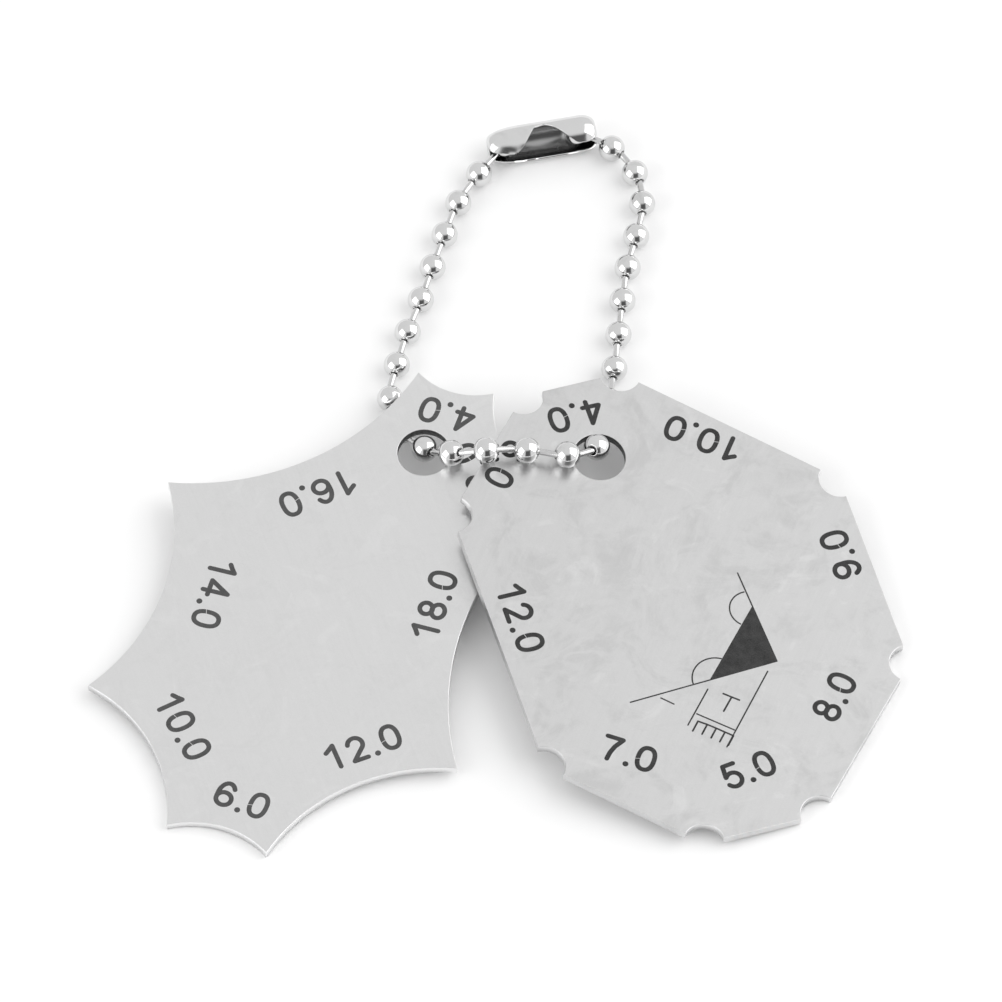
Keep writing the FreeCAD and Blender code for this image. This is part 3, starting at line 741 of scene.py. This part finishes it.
def floor():
    half = 1.5
    mesh = mesh_from("floor", [(-half, -half, 0), (half, -half, 0), (half, half, 0), (-half, half, 0)],
                     [[0, 1, 2, 3]], False)
    piece = bpy.data.objects.new("floor", mesh)
    bpy.context.scene.collection.objects.link(piece)
    material, shade = new_material("pale_floor")
    seen, mirrored, through_glass = (shade.node("ShaderNodeLightPath", None, None, k) for k in (0, 3, 6))
    surface = shade.node("ShaderNodeBsdfDiffuse", None, {"Color": (0.90, 0.90, 0.90, 1)})
    strength = seen * FLOOR_LIFT + mirrored * FLOOR_LIFT_IN_METAL + through_glass * FLOOR_LIFT
    lift = shade.node("ShaderNodeEmission", None, {"Color": (1, 1, 1, 1), "Strength": strength})
    both = shade.node("ShaderNodeAddShader", None, {0: surface, 1: lift})
    shade.node("ShaderNodeOutputMaterial", None, {"Surface": both})
    mesh.materials.append(material)


def world():
    """An even grey tent with a dark gap low at the front, where it is open for the camera."""
    sky = bpy.data.worlds.new("tent")
    bpy.context.scene.world = sky
    sky.use_nodes = True
    shade = Shade(sky.node_tree)
    where = shade.node("ShaderNodeTexCoord", None, None, 0)
    across, along, up = (shade.part(where, k) for k in range(3))
    aside = across - GAP_ASIDE
    # the gap is widest near the floor and closes above the camera
    narrow = (aside * aside).within(0.05, 0.20, 1.0, 0.0)
    low = up.within(0.66, 0.90, 1.0, 0.0)
    gap = narrow * low * (0 - along).within(0.2, 0.45)
    level = TENT_GREY - gap * GAP_DEPTH + across * 0.03
    background = shade.node("ShaderNodeBackground", None, {"Color": shade.grey(level), "Strength": 1.0})
    shade.node("ShaderNodeOutputWorld", None, {"Surface": background})


def lamp(name, place, size, power):
    light = bpy.data.lights.new(name, "AREA")
    light.shape = "RECTANGLE"
    light.size, light.size_y = size
    light.energy = power
    piece = bpy.data.objects.new(name, light)
    piece.location = place
    piece.rotation_euler = (-Vector(place)).to_track_quat("-Z", "Y").to_euler()
    bpy.context.scene.collection.objects.link(piece)


def camera():
    lens = bpy.data.cameras.new("camera")
    lens.lens = LENS
    lens.sensor_width = 36
    lens.clip_start = 0.05
    lens.clip_end = 20
    piece = bpy.data.objects.new("camera", lens)
    away = Vector((0, -math.cos(ELEVATION), math.sin(ELEVATION)))
    piece.location = LOOK_AT + away * DISTANCE
    piece.rotation_euler = (math.pi / 2 - ELEVATION, 0, 0)
    bpy.context.scene.collection.objects.link(piece)
    bpy.context.scene.camera = piece


floor()
world()
lamp("left_window", (-0.80, -0.44, 0.46), (0.85, 0.85), 3.4)
lamp("right_window", (0.80, 0.08, 0.60), (1.1, 1.2), 6.0)
camera()
bpy.context.scene.view_settings.view_transform = "Standard"
